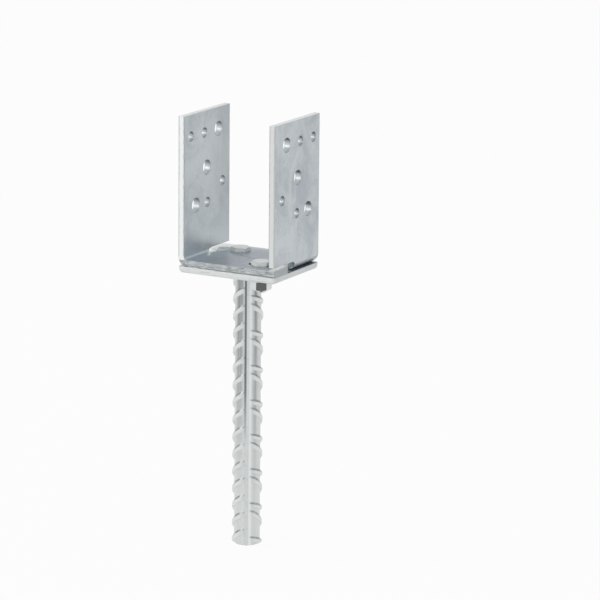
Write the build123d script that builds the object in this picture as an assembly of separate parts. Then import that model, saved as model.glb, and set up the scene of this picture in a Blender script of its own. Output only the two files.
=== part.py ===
"""Adjustable U post base: two slotted L brackets bolted to a plate on a ribbed anchor bar.

Millimetres. The origin is on the bar's axis at the underside of the base plate, where the concrete's
surface would be. +Z is up, the two side plates face each other along X, and -Y is the front.
"""
from build123d import *
from math import cos, radians, sin, tan
import os

# Post space and sheet
clear_width = 70.0            # between the side plates, brackets pushed together
side_depth = 65.0             # depth of a side plate
side_height = 105.0           # height of a side plate above the top of the feet
sheet = 5.0                   # thickness of the folded sheet
bend_radius = 2.0             # inside radius of the fold
sheet_edge = 0.4              # chamfer of the sheared and galvanised edges

# Base plate
base_thickness = 5.0
base_edge = 3.0               # rolled lower edge of the plate
base_corner = 2.0             # plan radius of its corners

# Foot of a bracket
relief_diameter = 9.0         # round relief at the end of the fold
relief_offset = 6.0           # from the middle of the side plate to the relief's centre
relief_rise = 2.8             # from the top of the base plate to the relief's centre
relief_inset = 1.5            # from the end of the fold to the centre of the relief in the foot
foot_end_width = 19.8         # width of the foot where it leaves the other bracket's window
window_clearance = 2.3        # between the top of a foot and the window that it runs through
seam_gap = 0.6                # between the two feet

# Bolts, nuts and washers
bolt_diameter = 8.0
front_bolt_set_in = 14.5       # bolt axis from the inner face of the nearest side plate
rear_bolt_set_in = 18.5
bolt_inset = 15.5             # bolt axis from the plate's front or rear edge
bolt_length = 20.0            # under the head
bolt_tip = 0.8                # chamfer on the bolt's end
hex_across_flats = 13.0
head_height = 3.0
nut_height = 6.5
crown_diameter = 12.4         # flat face left inside the turned corners of a head or nut
crown_slope = 30.0            # slope of those turned corners
thread_clearance = 0.05
washer_diameter = 16.0
washer_thickness = 1.6
washer_bore = 8.4
bolt_hole = 9.0               # hole in the base plate
slot_width = 9.0
slot_travel = 10.0            # outward travel of a bracket
slot_set_in = 20.0            # from the same face to the centre of the slot's inner end

# Screw holes of a side plate: distance from the edge over the foot, distance below the top edge
large_hole = 11.0
small_hole = 7.5
large_places = [(48.5, 16.0), (32.0, 42.0), (16.5, 67.5)]
small_places = [(9.5, 16.0), (28.5, 16.0), (54.5, 55.5), (33.0, 68.0)]

# Ribbed anchor bar
bar_length = 205.0
bar_core = 19.0               # diameter between the ribs
bar_over_ribs = 22.0
rib_thickness = 2.2
rib_pitch = 13.0
rib_fade = 0.1                # how far the ribs' ends stand above the core
rib_crest_sides = 20          # the crests follow a regular polygon with this many sides
seam_rib_width = 2.2
seam_rib_height = 0.8
seam_rib_angle = -60.0        # bearing of one lengthwise rib, the other is opposite
left_rib_angle = 42.0         # slope of the ribs from square to the bar
steep_rib_angle = 43.0
flat_rib_angle = 25.0
left_rib_start = 8.0          # first rib below the plate, then every pitch
steep_rib_start = 7.2
flat_rib_start = 22.5
weld_leg = 4.0

# Heights and reaches that follow
foot_bottom = base_thickness
foot_top = foot_bottom + sheet
side_top = foot_top + side_height
side_inner = clear_width / 2
side_outer = side_inner + sheet
half_depth = side_depth / 2
bolt_y = half_depth - bolt_inset
front_bolt_x = side_inner - front_bolt_set_in
rear_bolt_x = side_inner - rear_bolt_set_in
slot_inner = side_inner - slot_set_in
seam_slope = (half_depth - foot_end_width) / side_outer


def box_between(x, y, z):
    """A box given by its low and high limits along each axis."""
    size = [high - low for low, high in (x, y, z)]
    middle = [(high + low) / 2 for low, high in (x, y, z)]
    return Pos(*middle) * Box(*size)


def rod(diameter, start, end):
    """A round rod from one point to another."""
    start, end = Vector(*start), Vector(*end)
    plane = Plane(origin=start, z_dir=end - start)
    return extrude(plane * Circle(diameter / 2), (end - start).length)


def folded_sheet():
    """The L section of the left bracket, swept over the whole depth."""
    fold_x = -side_inner + bend_radius
    fold_z = foot_top + bend_radius
    outer = bend_radius + sheet
    half = cos(radians(45))
    outline = [
        Line((-side_outer, side_top), (-side_outer, fold_z)),
        ThreePointArc(
            (-side_outer, fold_z),
            (fold_x - outer * half, fold_z - outer * half),
            (fold_x, foot_bottom),
        ),
        Line((fold_x, foot_bottom), (side_outer, foot_bottom)),
        Line((side_outer, foot_bottom), (side_outer, foot_top)),
        Line((side_outer, foot_top), (fold_x, foot_top)),
        ThreePointArc(
            (fold_x, foot_top),
            (fold_x - bend_radius * half, fold_z - bend_radius * half),
            (-side_inner, fold_z),
        ),
        Line((-side_inner, fold_z), (-side_inner, side_top)),
        Line((-side_inner, side_top), (-side_outer, side_top)),
    ]
    section = Plane.XZ * make_face(Curve() + outline)
    return extrude(section, half_depth, both=True)


def seam_trim():
    """What is cut off beside the foot, along the slanting seam between the two feet."""
    left = -side_inner
    right = side_outer + sheet
    gap = seam_gap / 2
    corners = [
        (left, -left * seam_slope - gap),
        (right, -right * seam_slope - gap),
        (right, side_depth),
        (left, side_depth),
    ]
    height = foot_top + window_clearance
    return extrude(make_face(Polyline(*corners, close=True)), height)


def window():
    """The window for the other bracket's foot, with the round relief at the end of the fold.

    Over the window the side plate is left flat down to the window's edge.
    """
    outside = -side_outer - sheet
    fold_end = -side_inner + bend_radius
    middle_z = foot_bottom + relief_rise
    behind = (relief_offset, side_depth)
    opening = box_between((outside, fold_end), behind, (0, foot_top + window_clearance))
    flush = box_between((-side_inner, fold_end), behind, (0, foot_top + bend_radius))
    relief = rod(relief_diameter, (outside, relief_offset, middle_z), (fold_end, relief_offset, middle_z))
    foot_relief_x = fold_end - relief_inset
    foot_relief = rod(
        relief_diameter, (foot_relief_x, relief_offset, 0), (foot_relief_x, relief_offset, foot_top)
    )
    return opening + flush + relief + foot_relief


def foot_slot():
    """The slot in the left bracket's foot, in which the front bolt sits."""
    outer = max(front_bolt_x, rear_bolt_x) + slot_travel
    profile = SlotCenterToCenter(outer - slot_inner, slot_width)
    return extrude(Pos((slot_inner + outer) / 2, -bolt_y, 0) * profile, foot_top + sheet)


def screw_holes():
    """The seven screw holes of the left side plate."""
    holes = []
    for diameter, places in ((large_hole, large_places), (small_hole, small_places)):
        for from_edge, below_top in places:
            y = -half_depth + from_edge
            z = side_top - below_top
            holes.append(rod(diameter, (-side_outer - sheet, y, z), (0, y, z)))
    return holes


def bracket():
    """The left bracket: side plate, fold and slotted foot, in one piece."""
    body = folded_sheet() - seam_trim() - window() - foot_slot()
    top_edges = body.edges().filter_by(Axis.Y).group_by(Axis.Z)[-1]
    upright = body.edges().filter_by(Axis.Z).filter_by(lambda e: e.length > side_height / 2)
    body = chamfer(top_edges + upright, sheet_edge)
    for hole in screw_holes():
        body -= hole
    return body


def base_plate():
    """The plate that carries the brackets, with a hole for each bolt and rolled lower edges."""
    plate = box_between((-side_outer, side_outer), (-half_depth, half_depth), (0, base_thickness))
    plate = fillet(plate.edges().filter_by(Axis.Z), base_corner)
    plate = fillet(plate.faces().sort_by(Axis.Z)[0].edges(), base_edge)
    for x, y in bolt_places():
        plate -= rod(bolt_hole, (x, y, 0), (x, y, base_thickness))
    return plate


def bolt_places():
    """The two bolts stand corner to corner about the anchor bar."""
    return [(front_bolt_x, -bolt_y), (-rear_bolt_x, bolt_y)]


def hexagon(height):
    """A hexagon prism with its flats at the sides and the corners of its top turned off."""
    corner_radius = hex_across_flats / 2 / cos(radians(30))
    crown_radius = crown_diameter / 2
    turned_depth = (corner_radius - crown_radius) * tan(radians(crown_slope))
    profile = Polyline(
        (0, 0),
        (corner_radius, 0),
        (corner_radius, height - turned_depth),
        (crown_radius, height),
        (0, height),
        close=True,
    )
    turned = revolve(Plane.XZ * make_face(profile), Axis.Z)
    return turned & extrude(RegularPolygon(corner_radius, 6, rotation=30), height)


def bolt(x, y):
    """Hexagon head on the foot, shank down through foot, plate, washer and nut."""
    head = Pos(x, y, foot_top) * hexagon(head_height)
    shank = rod(bolt_diameter, (x, y, foot_top), (x, y, foot_top - bolt_length))
    shank = chamfer(shank.edges().sort_by(Axis.Z)[0], bolt_tip)
    return head + shank


def washer(x, y):
    """Round washer against the underside of the base plate."""
    disc = rod(washer_diameter, (x, y, 0), (x, y, -washer_thickness))
    return disc - rod(washer_bore, (x, y, 0), (x, y, -washer_thickness))


def nut(x, y):
    """Hexagon nut under the washer, turned corners down."""
    top = -washer_thickness
    body = Pos(x, y, top) * Rot(180, 0, 0) * hexagon(nut_height)
    bore = bolt_diameter + 2 * thread_clearance
    return body - rod(bore, (x, y, top), (x, y, top - nut_height))


def rib_row(bearing, planes):
    """Ribs that stand out on one side of the bar and die out at the lengthwise ribs.

    planes lists (depth below the base plate, slope) of each rib. Every rib is a tilted slab cut to a
    many-sided prism that is set a little to its side of the bar.
    """
    core = bar_core / 2 + rib_fade
    crest = bar_over_ribs / 2
    envelope_radius = (crest + core * core / crest) / 2
    shift = crest - envelope_radius
    slabs = []
    for depth, slope in planes:
        slab = Box(bar_over_ribs, 3 * bar_over_ribs, rib_thickness)
        slabs.append(Pos(bar_over_ribs / 2, 0, -depth) * Rot(slope, 0, 0) * slab)
    crests = RegularPolygon(envelope_radius, rib_crest_sides, rotation=180 / rib_crest_sides)
    envelope = Pos(shift, 0, -bar_length) * extrude(crests, bar_length)
    ribs = envelope & Compound(children=[Part() + slab for slab in slabs])
    return Rot(0, 0, bearing) * ribs


def repeated(start, pitch, slope):
    """Rib planes at one slope, every pitch along the bar."""
    count = int((bar_length - start) / pitch) + 1
    return [(start + i * pitch, slope) for i in range(count)]


def anchor_bar():
    """Core, two lengthwise ribs, two rows of slanting ribs and the weld at the top."""
    bar = extrude(Circle(bar_core / 2), -bar_length)
    reach = bar_core + 2 * seam_rib_height
    spine = box_between(
        (-reach / 2, reach / 2), (-seam_rib_width / 2, seam_rib_width / 2), (-bar_length, 0)
    )
    bar += Rot(0, 0, seam_rib_angle) * spine
    left_row = repeated(left_rib_start, rib_pitch, left_rib_angle)
    right_row = repeated(steep_rib_start, 2 * rib_pitch, -steep_rib_angle)
    right_row += repeated(flat_rib_start, 2 * rib_pitch, -flat_rib_angle)
    bar += rib_row(seam_rib_angle - 90, left_row)
    bar += rib_row(seam_rib_angle + 90, right_row)
    collar = Pos(0, 0, -weld_leg / 2) * Cone(bar_core / 2, bar_core / 2 + weld_leg, weld_leg)
    return bar + collar


left = bracket()
right = Rot(0, 0, 180) * left
front, rear = bolt_places()
pieces = {
    "base_plate": base_plate(),
    "anchor_bar": anchor_bar(),
    "left_bracket": left,
    "right_bracket": right,
    "front_bolt": bolt(*front),
    "rear_bolt": bolt(*rear),
    "front_washer": washer(*front),
    "rear_washer": washer(*rear),
    "front_nut": nut(*front),
    "rear_nut": nut(*rear),
}

os.makedirs("parts", exist_ok=True)
for name, piece in pieces.items():
    export_step(piece, f"parts/{name}.step")
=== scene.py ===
"""Looks of the adjustable timber post base: galvanised steel in a plain white studio."""
from math import cos, radians, sin, sqrt, tan

import bpy
from mathutils import Matrix, Vector, noise

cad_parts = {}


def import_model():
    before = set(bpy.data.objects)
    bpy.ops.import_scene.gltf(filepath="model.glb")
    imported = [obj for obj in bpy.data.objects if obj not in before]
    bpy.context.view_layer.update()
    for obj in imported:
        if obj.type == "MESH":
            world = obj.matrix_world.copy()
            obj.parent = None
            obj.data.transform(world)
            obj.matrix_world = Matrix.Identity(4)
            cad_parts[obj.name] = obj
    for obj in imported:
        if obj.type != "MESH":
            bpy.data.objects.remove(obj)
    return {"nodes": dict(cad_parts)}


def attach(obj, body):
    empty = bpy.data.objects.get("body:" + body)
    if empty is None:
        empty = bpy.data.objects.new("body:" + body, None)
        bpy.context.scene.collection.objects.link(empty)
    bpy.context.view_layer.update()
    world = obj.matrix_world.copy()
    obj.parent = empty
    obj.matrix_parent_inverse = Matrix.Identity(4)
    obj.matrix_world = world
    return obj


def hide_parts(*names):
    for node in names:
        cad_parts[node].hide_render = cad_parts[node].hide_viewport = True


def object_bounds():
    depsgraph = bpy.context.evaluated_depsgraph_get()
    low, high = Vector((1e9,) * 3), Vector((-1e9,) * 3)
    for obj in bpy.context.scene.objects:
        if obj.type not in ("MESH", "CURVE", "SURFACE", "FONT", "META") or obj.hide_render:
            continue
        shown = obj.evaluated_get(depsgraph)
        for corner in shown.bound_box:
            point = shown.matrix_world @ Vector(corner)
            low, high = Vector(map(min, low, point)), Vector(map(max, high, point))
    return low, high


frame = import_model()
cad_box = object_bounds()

# The photograph's view: the camera aims at the origin, which is at ORIGIN_PIXEL of a square picture
IMAGE_SIZE = 600
ORIGIN_PIXEL = (248.41, 270.60)
PIXELS_PER_METRE = 1378.7
VIEW_AZIMUTH = 29.90
VIEW_ELEVATION = 12.68
VIEW_ROLL = 0.35
VIEW_DISTANCE = 2.631
SENSOR_WIDTH = 36.0
CLIP_END = 20.0

# Studio; levels are strengths, of which 1 is white
FLOOR_Z = cad_box[0][2]
FLOOR_HALF = 3.0
FLOOR_GREY = 0.8
FLOOR_WHITE_SHARE = 0.92      # the rest of the floor's look is matt grey, and keeps the shadow
DOME_BRIGHTEST = (-0.50, -0.80, 0.10)
DOME_LEVELS = (0.80, 1.20)    # away from that direction, and towards it
KEY_PLACE = (-1.3, -2.0, 0.9)
KEY_SIZE = 1.4
KEY_POWER = 9.0

# Zinc: tints, and the scales of its patterns with their shares in the colour
METALLIC = 0.75
BLUISH = (0.93, 1.0, 1.03)
GREENISH = (0.97, 1.0, 0.99)
VIOLET = (0.90, 1.0, 1.11)
TEAL = (0.84, 1.0, 1.10)
CLOUD_SCALE, CLOUD_SHARE = 42.0, 0.45
FROST_SCALE, FROST_SHARE = 210.0, 0.35
CRYSTAL_SHARE = 0.20
FINE_SCALE = 700.0
RAISED = "raised"             # attribute of the bar's skin: its height over the core, millimetres

# Places on the CAD pieces, metres
MM = 0.001
FOOT_TOP = 0.010
LEFT_SLOT_FROM, RIGHT_SLOT_FROM = -0.0337, -0.0410
SLOTS_TO = 0.0337
GLARE_NORMAL = (0.906, 0.423)   # direction across the painted highlight beside the left fold
GLARE_OFFSET = 0.0293           # its distance from the origin
NUT_SHADED_FACET = (0.5, -0.866)     # direction in which the nuts' facet with painted shade looks

# Anchor bar, millimetres and degrees
BAR_LENGTH = 205.0
BAR_CORE = 9.5                # radius between the ribs
BAR_CREST = 11.0              # radius over the middle of a rib
SEAM_ANGLE = -60.0            # bearing of one lengthwise rib, the other is opposite
SEAM_HEIGHT = 0.8
SEAM_HALF_WIDTH = 1.5
RIB_PITCH = 13.0
RIB_CREST_HALF = 0.7          # half of a rib's flat crest, across the rib
RIB_FOOT_HALF = 2.3           # half of its foot
LEFT_RIBS = [(8.0 + i * RIB_PITCH, 42.0) for i in range(16)]
RIGHT_RIBS = [(7.2 + 2 * i * RIB_PITCH, -43.0) for i in range(8)]
RIGHT_RIBS += [(22.5 + 2 * i * RIB_PITCH, -25.0) for i in range(8)]
WAVES = ((0.10, 0.16), (0.05, 0.5))    # heights and frequencies of the core's unevenness
WELD_LEG = 4.0
WELD_REACH = 1.6              # lowest the bead can come, in legs
WELD_WAVE = (0.35, 0.45)      # height and frequency of the bead's slow waves
WELD_RIPPLE = (0.12, 34.0)    # height of its ripples and how many go round
WELD_ROUNDING = 1.3           # power that rounds its outline
WELD_FULLNESS = 0.92
SAWN_DEPTH = 0.5              # of the softened edge at the lower end
SAWN_LENGTH = 0.9
BAR_AROUND = 168
BAR_ALONG = 500


def grey(level, tint=(1.0, 1.0, 1.0)):
    """A colour of that level, tinted, with its alpha."""
    return tuple(level * part for part in tint) + (1.0,)


class Nodes:
    """Short names for building a node tree."""

    def __init__(self, tree):
        self.tree = tree
        tree.nodes.clear()

    def add(self, kind, **settings):
        node = self.tree.nodes.new(kind)
        for name, value in settings.items():
            setattr(node, name, value)
        return node

    def link(self, source, target):
        self.tree.links.new(source, target)

    def put(self, socket, value):
        """Sets a socket to a number or colour, or links it to an output."""
        if isinstance(value, (int, float, tuple)):
            socket.default_value = value
        else:
            self.link(value, socket)

    def noise(self, place, scale, detail=3.0, roughness=0.5, distortion=0.0):
        node = self.add("ShaderNodeTexNoise")
        node.inputs["Scale"].default_value = scale
        node.inputs["Detail"].default_value = detail
        node.inputs["Roughness"].default_value = roughness
        node.inputs["Distortion"].default_value = distortion
        self.link(place, node.inputs["Vector"])
        return node.outputs["Fac"]

    def stretched(self, place, x, y, z):
        """The place with each axis scaled."""
        node = self.add("ShaderNodeMapping")
        node.inputs["Scale"].default_value = (x, y, z)
        self.link(place, node.inputs["Vector"])
        return node.outputs["Vector"]

    def cells(self, place, scale):
        """A flat random value for each crystal."""
        node = self.add("ShaderNodeTexVoronoi")
        node.inputs["Scale"].default_value = scale
        self.link(place, node.inputs["Vector"])
        split = self.add("ShaderNodeSeparateColor")
        self.link(node.outputs["Color"], split.inputs["Color"])
        return split.outputs["Red"]

    def parts(self, vector):
        node = self.add("ShaderNodeSeparateXYZ")
        self.link(vector, node.inputs["Vector"])
        return [node.outputs[axis] for axis in "XYZ"]

    def math(self, operation, a, b=None):
        """One step of arithmetic."""
        node = self.add("ShaderNodeMath", operation=operation)
        self.put(node.inputs[0], a)
        if b is not None:
            self.put(node.inputs[1], b)
        return node.outputs[0]

    def remap(self, value, low, high, to_low, to_high):
        """The value moved from one range to another, and kept inside it."""
        node = self.add("ShaderNodeMapRange")
        self.link(value, node.inputs["Value"])
        for name, number in zip(("From Min", "From Max", "To Min", "To Max"), (low, high, to_low, to_high)):
            node.inputs[name].default_value = number
        return node.outputs["Result"]

    def rise(self, value, start, end, top=1.0):
        """0 up to start and top from end on; end may be the lower one."""
        return self.remap(value, start, end, 0.0, top)

    def fall(self, value, start, end, top=1.0):
        """top up to start and 0 from end on."""
        return self.remap(value, start, end, top, 0.0)

    def plus(self, a, b):
        return self.math("ADD", a, b)

    def scaled(self, value, factor):
        return self.math("MULTIPLY", value, factor)

    def absolute(self, value):
        return self.math("ABSOLUTE", value)

    def inverse(self, mask):
        """1 where the mask is 0."""
        return self.math("SUBTRACT", 1.0, mask)

    def centred(self, value, width):
        """A noise value of 0 to 1 as an offset to both sides of 0."""
        return self.scaled(self.math("SUBTRACT", value, 0.5), width)

    def mix(self, share, a, b):
        """A colour between two."""
        node = self.add("ShaderNodeMix", data_type="RGBA")
        for socket, value in zip((node.inputs[0], node.inputs[6], node.inputs[7]), (share, a, b)):
            self.put(socket, value)
        return node.outputs[2]

    def both(self, *masks):
        """The product of several masks."""
        found = masks[0]
        for mask in masks[1:]:
            found = self.math("MULTIPLY", found, mask)
        return found


class Zinc:
    """A galvanised steel material in the making: a colour and a roughness that more layers can change."""

    def __init__(self, name, level, tint, roughness, spangle, mottle, grain, round_edge=0.0):
        self.material = bpy.data.materials.new(name)
        self.material.use_nodes = True
        n = self.n = Nodes(self.material.node_tree)
        self.place = n.add("ShaderNodeTexCoord").outputs["Object"]
        self.x, self.y, self.z = n.parts(self.place)
        self.normal = n.parts(n.add("ShaderNodeNewGeometry").outputs["Normal"])
        clouds = n.noise(self.place, CLOUD_SCALE, detail=5.0, roughness=0.62, distortion=0.4)
        crystals = n.cells(self.place, 1.0 / spangle)
        fine = n.noise(self.place, FINE_SCALE)
        frost = n.noise(self.place, FROST_SCALE, detail=4.0, roughness=0.7)
        shade = n.plus(n.scaled(clouds, CLOUD_SHARE), n.scaled(frost, FROST_SHARE))
        shade = n.plus(shade, n.scaled(crystals, CRYSTAL_SHARE))
        dark = grey(level * (1.0 - mottle), (tint[0] * 0.985, tint[1], tint[2] * 1.015))
        light = grey(level * (1.0 + mottle), tint)
        self.colour = n.mix(n.rise(shade, 0.36, 0.64), dark, light)
        self.rough = n.remap(n.plus(n.scaled(crystals, 0.5), n.scaled(clouds, 0.5)),
                             0.25, 0.75, roughness - 0.05, roughness + 0.05)
        self.height = n.plus(n.scaled(fine, 0.5), n.scaled(clouds, 1.6))
        self.grain = grain
        self.metallic = METALLIC
        self.round_edge = round_edge

    def tone(self, mask, level, tint=(1.0, 1.0, 1.0)):
        """Shows another colour where the mask is 1."""
        self.colour = self.n.mix(mask, self.colour, grey(level, tint))

    def roughen(self, mask, roughness):
        """Gives another roughness where the mask is 1."""
        node = self.n.add("ShaderNodeMix", data_type="FLOAT")
        for socket, value in zip((node.inputs[0], node.inputs[2], node.inputs[3]), (mask, self.rough, roughness)):
            self.n.put(socket, value)
        self.rough = node.outputs[0]

    def dull(self, mask):
        """Makes the surface matt, so that it takes light from all sides, where the mask is 1."""
        self.metallic = self.n.fall(mask, 0.0, 1.0, METALLIC)

    def emboss(self, height):
        """Adds relief, in the same unit as the grain."""
        self.height = self.n.plus(self.height, height)

    def finish(self):
        """Joins the layers in one shader and returns the material."""
        n = self.n
        bump = n.add("ShaderNodeBump")
        bump.inputs["Strength"].default_value = 1.0
        bump.inputs["Distance"].default_value = self.grain
        n.link(self.height, bump.inputs["Height"])
        if self.round_edge:
            bevel = n.add("ShaderNodeBevel", samples=6)
            bevel.inputs["Radius"].default_value = self.round_edge
            n.link(bevel.outputs["Normal"], bump.inputs["Normal"])
        shader = n.add("ShaderNodeBsdfPrincipled")
        n.put(shader.inputs["Metallic"], self.metallic)
        n.link(self.colour, shader.inputs["Base Color"])
        n.link(self.rough, shader.inputs["Roughness"])
        n.link(bump.outputs["Normal"], shader.inputs["Normal"])
        output = n.add("ShaderNodeOutputMaterial")
        n.link(shader.outputs["BSDF"], output.inputs["Surface"])
        return self.material

    def facing(self, axis, sign, low=0.6, high=0.85):
        """1 on faces that look along an axis."""
        return self.n.rise(self.n.scaled(self.normal[axis], sign), low, high)

    def band(self, value, low, high, soft):
        """1 where the value is between two limits, fading over soft."""
        n = self.n
        return n.both(n.rise(value, low - soft / 2, low + soft / 2), n.fall(value, high - soft / 2, high + soft / 2))


def wear(node, material):
    """Gives a CAD node its material."""
    slots = frame["nodes"][node].data.materials
    slots.clear()
    slots.append(material)


def camera():
    """The camera at the photograph's viewing angle."""
    azimuth, elevation, roll = (radians(a) for a in (VIEW_AZIMUTH, VIEW_ELEVATION, VIEW_ROLL))
    back = Vector((sin(azimuth) * cos(elevation), -cos(azimuth) * cos(elevation), sin(elevation)))
    level = Vector((cos(azimuth), sin(azimuth), 0.0))
    upright = back.cross(level)
    right = level * cos(roll) + upright * sin(roll)
    up = upright * cos(roll) - level * sin(roll)
    data = bpy.data.cameras.new("camera")
    data.sensor_width = SENSOR_WIDTH
    data.lens = PIXELS_PER_METRE * VIEW_DISTANCE * SENSOR_WIDTH / IMAGE_SIZE
    data.shift_x = (IMAGE_SIZE / 2 - ORIGIN_PIXEL[0]) / IMAGE_SIZE
    data.shift_y = (ORIGIN_PIXEL[1] - IMAGE_SIZE / 2) / IMAGE_SIZE
    data.clip_end = CLIP_END
    found = bpy.data.objects.new("camera", data)
    turn = Matrix((right, up, back)).transposed().to_4x4()
    found.matrix_world = Matrix.Translation(back * VIEW_DISTANCE) @ turn
    bpy.context.scene.collection.objects.link(found)
    bpy.context.scene.camera = found


def softbox(name, place, size, power):
    """A square area lamp that faces the origin."""
    data = bpy.data.lights.new(name, "AREA")
    data.size = size
    data.energy = power
    lamp = bpy.data.objects.new(name, data)
    lamp.location = place
    lamp.rotation_euler = Vector(place).to_track_quat("Z", "Y").to_euler()
    bpy.context.scene.collection.objects.link(lamp)


def seen(n):
    """1 for the rays that show the background: the camera's, and those that metal reflects."""
    path = n.add("ShaderNodeLightPath")
    shown = n.math("MAXIMUM", path.outputs["Is Camera Ray"], path.outputs["Is Glossy Ray"])
    return n.math("MAXIMUM", shown, path.outputs["Is Transmission Ray"])


def world():
    """White to the camera, and a soft dome for the light: brightest at the front left."""
    found = bpy.data.worlds.new("studio")
    found.use_nodes = True
    n = Nodes(found.node_tree)
    direction = n.add("ShaderNodeTexCoord").outputs["Generated"]
    toward = n.add("ShaderNodeVectorMath", operation="DOT_PRODUCT")
    toward.inputs[1].default_value = Vector(DOME_BRIGHTEST).normalized()
    n.link(direction, toward.inputs[0])
    level = n.remap(toward.outputs["Value"], -1.0, 1.0, *DOME_LEVELS)
    strength = n.add("ShaderNodeMix", data_type="FLOAT")
    n.link(seen(n), strength.inputs[0])
    n.link(level, strength.inputs[2])
    strength.inputs[3].default_value = 1.0
    background = n.add("ShaderNodeBackground")
    n.link(strength.outputs[0], background.inputs["Strength"])
    output = n.add("ShaderNodeOutputWorld")
    n.link(background.outputs["Background"], output.inputs["Surface"])
    bpy.context.scene.world = found


def floor():
    """A plain white floor at the bar's lower end."""
    mesh = bpy.data.meshes.new("floor")
    corners = [(x * FLOOR_HALF, y * FLOOR_HALF, FLOOR_Z) for x, y in ((-1, -1), (1, -1), (1, 1), (-1, 1))]
    mesh.from_pydata(corners, [], [(0, 1, 2, 3)])
    found = bpy.data.objects.new("floor", mesh)
    bpy.context.scene.collection.objects.link(found)
    material = bpy.data.materials.new("floor")
    material.use_nodes = True
    n = Nodes(material.node_tree)
    matt = n.add("ShaderNodeBsdfDiffuse")
    matt.inputs["Color"].default_value = grey(FLOOR_GREY)
    white = n.add("ShaderNodeEmission")
    white.inputs["Strength"].default_value = 1.0
    share = n.scaled(seen(n), FLOOR_WHITE_SHARE)
    both = n.add("ShaderNodeMixShader")
    n.link(share, both.inputs[0])
    n.link(matt.outputs["BSDF"], both.inputs[1])
    n.link(white.outputs["Emission"], both.inputs[2])
    output = n.add("ShaderNodeOutputMaterial")
    n.link(both.outputs["Shader"], output.inputs["Surface"])
    mesh.materials.append(material)


def smooth(value, low, high):
    """0 below low, 1 above high, with a soft rise between."""
    share = min(1.0, max(0.0, (value - low) / (high - low)))
    return share * share * (3.0 - 2.0 * share)


def ribs_height(angle, z, bearing, ribs):
    """Height of one row of slanting ribs over the core, at an angle round the bar and a height."""
    across = radians(angle - bearing)
    if cos(across) < -0.05:
        return 0.0
    # The crests follow a cylinder set a little to this side, so the ribs die out at the lengthwise ones
    envelope = (BAR_CREST + (BAR_CORE + 0.1) ** 2 / BAR_CREST) / 2
    shift = BAR_CREST - envelope
    crest = shift * cos(across) + sqrt(envelope ** 2 - (shift * sin(across)) ** 2) - BAR_CORE
    along = BAR_CORE * sin(across)
    best = 0.0
    for depth, slope in ribs:
        tilt = radians(slope)
        apart = abs((z + depth - along * tan(tilt)) * cos(tilt))
        if apart < RIB_FOOT_HALF:
            best = max(best, 1.0 - smooth(apart, RIB_CREST_HALF, RIB_FOOT_HALF))
    return best * max(0.0, crest)


def bar_radius(angle, z):
    """Radius of the bar's surface, and the height of its slanting and of its lengthwise ribs there."""
    rib = max(ribs_height(angle, z, SEAM_ANGLE - 90.0, LEFT_RIBS),
              ribs_height(angle, z, SEAM_ANGLE + 90.0, RIGHT_RIBS))
    turn = (angle - SEAM_ANGLE + 90.0) % 180.0 - 90.0
    apart = abs(radians(turn)) * BAR_CORE
    seam = SEAM_HEIGHT * (1.0 - smooth(apart, 0.55 * SEAM_HALF_WIDTH, 1.25 * SEAM_HALF_WIDTH))
    direction = Vector((cos(radians(angle)), sin(radians(angle)), 0.0))
    spot = direction * BAR_CORE + Vector((0.0, 0.0, z))
    wave = sum(height * noise.noise(spot * frequency) for height, frequency in WAVES)
    radius = BAR_CORE + max(rib, seam) + wave
    if -z < WELD_REACH * WELD_LEG:
        ripple = (WELD_WAVE[0] * noise.noise(spot * WELD_WAVE[1])
                  + WELD_RIPPLE[0] * sin(radians(angle) * WELD_RIPPLE[1]))
        leg = WELD_LEG + ripple
        drop = min(1.0, -z / leg)
        weld = leg * sqrt(max(0.0, 1.0 - (drop ** WELD_ROUNDING))) * WELD_FULLNESS
        radius = max(radius, BAR_CORE + weld)
    return radius, rib, seam


def anchor_bar(material):
    """The ribbed bar as one fine skin, with soft ribs, a weld bead at its top and a sawn lower end."""
    points, faces, depths = [], [], []
    for row in range(BAR_ALONG + 1):
        z = -BAR_LENGTH * row / BAR_ALONG
        end = smooth(BAR_LENGTH + z, 0.0, SAWN_LENGTH)
        for step in range(BAR_AROUND):
            angle = 360.0 * step / BAR_AROUND
            radius, rib, seam = bar_radius(angle, z)
            radius -= SAWN_DEPTH * (1.0 - end)
            a = radians(angle)
            points.append((radius * cos(a) * MM, radius * sin(a) * MM, z * MM))
            depths.append(max(rib, seam))
    for row in range(BAR_ALONG):
        for step in range(BAR_AROUND):
            a, b = row * BAR_AROUND + step, row * BAR_AROUND + (step + 1) % BAR_AROUND
            faces.append((a, a + BAR_AROUND, b + BAR_AROUND, b))
    faces.append(tuple(range(BAR_AROUND)))
    last = BAR_ALONG * BAR_AROUND
    faces.append(tuple(last + step for step in reversed(range(BAR_AROUND))))
    mesh = bpy.data.meshes.new("ribbed_bar")
    mesh.from_pydata(points, [], faces)
    raised = mesh.attributes.new(RAISED, "FLOAT", "POINT")
    raised.data.foreach_set("value", depths)
    for face in mesh.polygons:
        face.use_smooth = len(face.vertices) == 4
    mesh.materials.append(material)
    piece = bpy.data.objects.new("ribbed_bar", mesh)
    bpy.context.scene.collection.objects.link(piece)
    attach(piece, "base")
    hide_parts("anchor_bar")


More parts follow.
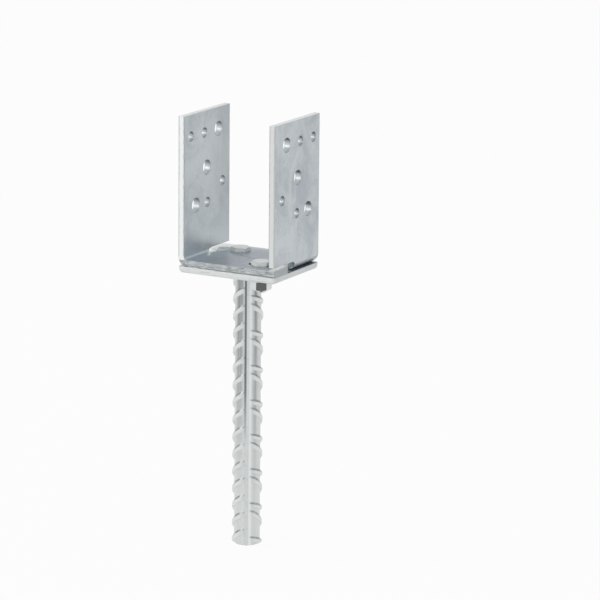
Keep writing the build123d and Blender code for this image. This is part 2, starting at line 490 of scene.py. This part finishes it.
# Limits on zinc.x, zinc.y and zinc.z are metres on the part at rest; the other limits are of a pattern's
# value or of a normal's share along an axis
def sheet_zinc(name, painted_edge_level, painted_slot_level, slot_from):
    """Zinc of a bracket: the painted light levels of its cut edges and of its slot's walls, and where the slot
    starts.
    """
    zinc = Zinc(name, level=0.56, tint=BLUISH, roughness=0.36, spangle=0.0024, mottle=0.10,
                grain=0.00006, round_edge=0.0006)
    n = zinc.n
    upright = n.rise(n.absolute(zinc.normal[0]), 0.7, 0.9)
    ends = n.rise(n.absolute(zinc.y), 0.0310, 0.0318)
    sheared = n.both(n.rise(n.absolute(zinc.normal[1]), 0.6, 0.9), ends)
    above = n.both(zinc.facing(2, 1), n.fall(zinc.z, 0.020, 0.021))
    clouds = n.noise(n.stretched(zinc.place, 1.0, 1.0, 0.7), 30.0, detail=5.0, roughness=0.6, distortion=1.2)
    side_plate(zinc, upright, clouds)
    foot_painted_reflection(zinc, above)
    foot_ends(zinc, upright, ends, painted_slot_level, slot_from)
    foot_painted_highlights(zinc, above, clouds)
    hole_walls(zinc, upright, ends)
    sheared_edges(zinc, sheared, painted_edge_level)
    torn_edge(zinc, sheared)
    zinc.roughen(sheared, 0.5)
    return zinc.finish()


def side_plate(zinc, upright, clouds):
    """Broad pale and dark clouds of the dip; on the left plate, painted shade darker towards its rear and a bluer
    painted reflection low down.
    """
    n = zinc.n
    zinc.tone(n.both(upright, n.rise(clouds, 0.47, 0.60, 0.60)), 0.68, BLUISH)
    zinc.tone(n.both(upright, n.rise(clouds, 0.46, 0.35, 0.60)), 0.42, VIOLET)
    # Painted shade darker towards the left plate's rear, and a bluer painted reflection near its foot
    left = n.fall(zinc.x, -0.036, -0.034)
    rear = n.both(upright, n.rise(zinc.y, -0.008, 0.030, 0.75), left)
    zinc.tone(rear, 0.38, BLUISH)
    low = n.both(upright, n.fall(zinc.z, 0.012, 0.044, 0.8), left)
    zinc.tone(n.both(low, n.remap(clouds, 0.35, 0.6, 1.0, 0.5)), 0.72, VIOLET)


def foot_painted_reflection(zinc, above):
    """Painted reflection on the feet's upper sides: darker violet, and teal towards the left fold and round the spot
    between the bolts.
    """
    n = zinc.n
    # Painted reflection: the feet's upward faces darker and violet, with paler teal patches
    zinc.tone(above, 0.43, VIOLET)
    side = n.plus(zinc.x, n.scaled(zinc.y, -0.35))
    zinc.tone(n.both(above, n.rise(side, -0.010, -0.024)), 0.54, TEAL)
    from_spot = n.add("ShaderNodeVectorMath", operation="DISTANCE")
    n.link(zinc.place, from_spot.inputs[0])
    from_spot.inputs[1].default_value = (-0.021, -0.001, FOOT_TOP)
    zinc.tone(n.both(above, n.fall(from_spot.outputs["Value"], 0.004, 0.012, 0.8)), 0.54, TEAL)


def foot_ends(zinc, upright, ends, painted_slot_level, slot_from):
    """The foot's grey end face, and the matt walls of its slot at a painted light level."""
    n = zinc.n
    zinc.tone(n.both(upright, n.fall(zinc.z, FOOT_TOP, 0.0104)), 0.42, BLUISH)
    # The slot walls' level is painted light and shade, set per bracket
    inside = n.both(n.fall(zinc.z, 0.0097, 0.0099), n.inverse(ends),
                    zinc.band(zinc.x, slot_from, SLOTS_TO, soft=0.0005))
    zinc.tone(inside, painted_slot_level, GREENISH)
    zinc.dull(n.scaled(inside, painted_slot_level))


def foot_painted_highlights(zinc, above, clouds):
    """Paler zinc clouds on the feet, and painted highlights on the feet and in the windows."""
    n = zinc.n
    zinc.tone(n.both(above, n.rise(clouds, 0.46, 0.60, 0.35)), 0.60, BLUISH)
    # Painted highlights on the outer ends, where light comes through the windows, and on the windows' upper edges
    zinc.tone(n.both(above, n.rise(n.absolute(zinc.x), 0.0342, 0.0358)), 1.0, GREENISH)
    zinc.tone(n.both(zinc.facing(2, -1), zinc.band(zinc.z, 0.0107, 0.0155, soft=0.0005)), 1.0, GREENISH)
    # A tapering painted highlight beside the left fold, where light comes through the slit
    wander = n.centred(clouds, 0.0020)
    aside = n.plus(n.scaled(zinc.x, GLARE_NORMAL[0]), n.scaled(zinc.y, GLARE_NORMAL[1]))
    along = n.plus(n.scaled(zinc.x, GLARE_NORMAL[1]), n.scaled(zinc.y, -GLARE_NORMAL[0]))
    apart = n.absolute(n.plus(n.plus(aside, wander), GLARE_OFFSET))
    outside = n.math("SUBTRACT", apart, n.remap(along, -0.016, 0.000, 0.0008, 0.0001))
    glare_streak = n.both(above, n.fall(outside, 0.0000, 0.0013), zinc.band(along, -0.0200, -0.0020, soft=0.0040))
    zinc.tone(n.scaled(glare_streak, 0.85), 1.0, GREENISH)
    # Painted highlights on the rear edge, and on the corner behind the highlight beside the fold
    zinc.tone(n.both(above, n.rise(zinc.y, 0.0240, 0.0290, 0.6)), 0.70, BLUISH)
    corner = n.both(above, n.fall(n.plus(zinc.x, wander), -0.0275, -0.0250),
                    n.rise(n.plus(zinc.y, wander), 0.0060, 0.0100))
    zinc.tone(n.scaled(corner, 0.9), 1.0, GREENISH)


def hole_walls(zinc, upright, ends):
    """Walls of the screw holes: painted shade on the upper walls, which face down, and paler below."""
    n = zinc.n
    bore = n.both(n.inverse(upright), n.inverse(ends), n.rise(zinc.z, 0.020, 0.022), n.fall(zinc.z, 0.112, 0.113))
    zinc.tone(bore, 0.62, BLUISH)
    # Painted shade on the down-facing upper walls
    zinc.tone(n.both(bore, n.rise(zinc.normal[2], -0.1, -0.6, 0.9)), 0.20, BLUISH)


def sheared_edges(zinc, sheared, painted_edge_level):
    """Pale front and rear cut edges with painted light, uneven grey along both sides, and top edges with small pits.
    """
    n = zinc.n
    # The cut faces are pale, brighter by painted light on the left bracket
    zinc.tone(sheared, painted_edge_level, GREENISH)
    pits = n.noise(n.stretched(zinc.place, 500.0, 500.0, 260.0), 1.0, roughness=0.6)
    wall = n.both(sheared, n.rise(zinc.z, 0.012, 0.013))
    uneven = n.plus(n.absolute(zinc.x), n.centred(pits, 0.0014))
    zinc.tone(n.both(wall, n.rise(uneven, 0.0386, 0.0392, 0.7)), 0.50, BLUISH)
    zinc.tone(n.both(wall, n.rise(uneven, 0.0360, 0.0354, 0.8)), 0.40, BLUISH)
    rim = n.both(zinc.facing(2, 1), n.rise(zinc.z, 0.100, 0.101))
    zinc.tone(rim, 0.90, GREENISH)
    zinc.tone(n.both(rim, n.rise(pits, 0.54, 0.66, 0.7)), 0.58, BLUISH)


def torn_edge(zinc, sheared):
    """The feet's front and rear edges: torn upper zone, dark wavy line, and a smooth lip below."""
    n = zinc.n
    foot = n.both(sheared, n.fall(zinc.z, 0.0098, 0.0102))
    waves = n.noise(n.stretched(zinc.place, 170.0, 170.0, 0.0), 1.0, roughness=0.65)
    step = n.plus(zinc.z, n.centred(waves, 0.0030))
    marks = n.noise(n.stretched(zinc.place, 190.0, 190.0, 1100.0), 1.0, detail=4.0, roughness=0.7)
    torn = n.both(foot, n.rise(step, 0.0056, 0.0060))
    zinc.tone(torn, 0.47, BLUISH)
    zinc.tone(n.both(torn, n.rise(marks, 0.50, 0.62, 0.8)), 0.66, GREENISH)
    zinc.tone(n.both(torn, n.rise(marks, 0.47, 0.38, 0.9)), 0.26, GREENISH)
    zinc.tone(n.both(foot, zinc.band(step, 0.0053, 0.0059, soft=0.0004)), 0.24, GREENISH)
    zinc.emboss(n.both(torn, n.scaled(marks, 5.0)))


def plate_zinc():
    """Zinc of the base plate: painted light on the faces that look forward, with faint marks, and a painted shadow
    on the ledge under the right fold.
    """
    zinc = Zinc("plate_zinc", level=0.64, tint=GREENISH, roughness=0.40, spangle=0.0024, mottle=0.07,
                grain=0.00007, round_edge=0.0005)
    n = zinc.n
    marks = n.noise(n.stretched(zinc.place, 120.0, 120.0, 500.0), 1.0, roughness=0.6)
    # Painted light: faces that look forward are paler
    front = n.rise(zinc.normal[1], -0.2, -0.7)
    zinc.tone(front, 0.74, GREENISH)
    zinc.tone(n.both(front, n.rise(marks, 0.45, 0.35, 0.6)), 0.56, GREENISH)
    # Painted shadow on the upper face under the right fold
    shadowed_ledge = n.rise(zinc.x, 0.0325, 0.0340)
    zinc.tone(n.both(zinc.facing(2, 1, 0.75, 0.92), shadowed_ledge), 0.28, VIOLET)
    return zinc.finish()


def bar_zinc():
    """Zinc of the ribbed bar: painted highlights and shade on the ribs, painted reflection bands, and a painted
    shadow line along the lengthwise rib.
    """
    zinc = Zinc("bar_zinc", level=0.67, tint=GREENISH, roughness=0.33, spangle=0.0040, mottle=0.08, grain=0.00006)
    n = zinc.n
    seam = radians(SEAM_ANGLE)
    ahead = n.plus(n.scaled(zinc.x, cos(seam)), n.scaled(zinc.y, sin(seam)))
    beside = n.plus(n.scaled(zinc.x, -sin(seam)), n.scaled(zinc.y, cos(seam)))
    across = n.both(beside, n.math("SIGN", ahead))
    raised = n.add("ShaderNodeAttribute", attribute_name=RAISED).outputs["Fac"]
    flat = n.fall(raised, 0.05, 0.5)
    streaks = n.noise(n.stretched(zinc.place, 420.0, 420.0, 14.0), 1.0, roughness=0.6)
    # Painted reflections: dark upright bands, stronger near the plate, and paler zinc low down
    reflection_bands = n.math("MAXIMUM", zinc.band(across, -0.0080, -0.0036, soft=0.0016),
                   zinc.band(across, 0.0042, 0.0066, soft=0.0016))
    high = n.remap(zinc.z, -0.140, -0.020, 0.35, 1.0)
    dark = n.both(reflection_bands, high, flat, n.remap(streaks, 0.3, 0.6, 0.5, 1.0))
    zinc.tone(n.scaled(dark, 0.95), 0.28, BLUISH)
    zinc.tone(n.both(flat, n.rise(zinc.z, -0.100, -0.170, 0.6)), 0.76, GREENISH)
    # Painted reflections: a pale strip right of the lengthwise rib's middle, and duller grey over the middle
    zinc.tone(n.scaled(zinc.band(across, 0.0010, 0.0028, soft=0.0008), 0.8), 0.88, GREENISH)
    reflection_strip = n.both(zinc.band(across, -0.0008, 0.0006, soft=0.0006), n.remap(streaks, 0.35, 0.6, 0.3, 1.0))
    zinc.tone(n.scaled(reflection_strip, 0.7), 0.50, GREENISH)
    # Painted shade on the ribs' upper flanks, and painted highlights on crests and lower flanks
    rib = n.both(n.rise(raised, 0.02, 0.15), n.remap(streaks, 0.35, 0.55, 0.45, 1.0))
    zinc.tone(n.both(rib, n.rise(zinc.normal[2], 0.10, 0.40, 0.75)), 0.22, BLUISH)
    zinc.tone(n.both(n.rise(raised, 0.5, 0.9, 0.8), n.rise(zinc.normal[2], 0.15, -0.05)), 0.80, GREENISH)
    # A painted shadow line left of the lengthwise rib
    shadow_line = n.both(zinc.band(across, -0.0025, -0.0009, soft=0.0006), n.remap(zinc.z, -0.130, -0.085, 0.1, 1.0))
    zinc.tone(n.scaled(shadow_line, 0.9), 0.14, VIOLET)
    return zinc.finish()


def fastener_zinc():
    """Zinc of bolts, washers and nuts: painted light on the pale matt sides, and painted shade on one facet of each
    nut under the plate.
    """
    zinc = Zinc("fastener_zinc", level=0.76, tint=GREENISH, roughness=0.32, spangle=0.0040, mottle=0.05,
                grain=0.00001, round_edge=0.0004)
    n = zinc.n
    below = n.fall(zinc.z, -0.0002, 0.0)
    lit_sides = n.both(n.inverse(below), n.rise(zinc.normal[2], 0.9, 0.6))
    # Painted light: the sides above the plate are paler and matt
    zinc.tone(lit_sides, 0.82, GREENISH)
    zinc.dull(lit_sides)
    # Painted shade on the nuts' facet that looks one way
    facing = n.plus(n.scaled(zinc.normal[0], NUT_SHADED_FACET[0]), n.scaled(zinc.normal[1], NUT_SHADED_FACET[1]))
    zinc.tone(n.both(n.rise(facing, 0.93, 0.985), below), 0.13, GREENISH)
    return zinc.finish()


camera()
world()
floor()
softbox("key", KEY_PLACE, KEY_SIZE, KEY_POWER)

# Painted light and shade: the left bracket's edges are painted brighter and its slot walls darker than the right
# bracket's
wear("left_bracket", sheet_zinc("left_zinc", painted_edge_level=0.88, painted_slot_level=0.30, slot_from=LEFT_SLOT_FROM))
wear("right_bracket", sheet_zinc("right_zinc", painted_edge_level=0.72, painted_slot_level=1.0, slot_from=RIGHT_SLOT_FROM))
fasteners = fastener_zinc()
wear("base_plate", plate_zinc())
bar_skin = bar_zinc()
wear("anchor_bar", bar_skin)
anchor_bar(bar_skin)
for place in ("front", "rear"):
    for piece in ("bolt", "washer", "nut"):
        wear(f"{place}_{piece}", fasteners)

bpy.context.scene.view_settings.view_transform = "Standard"
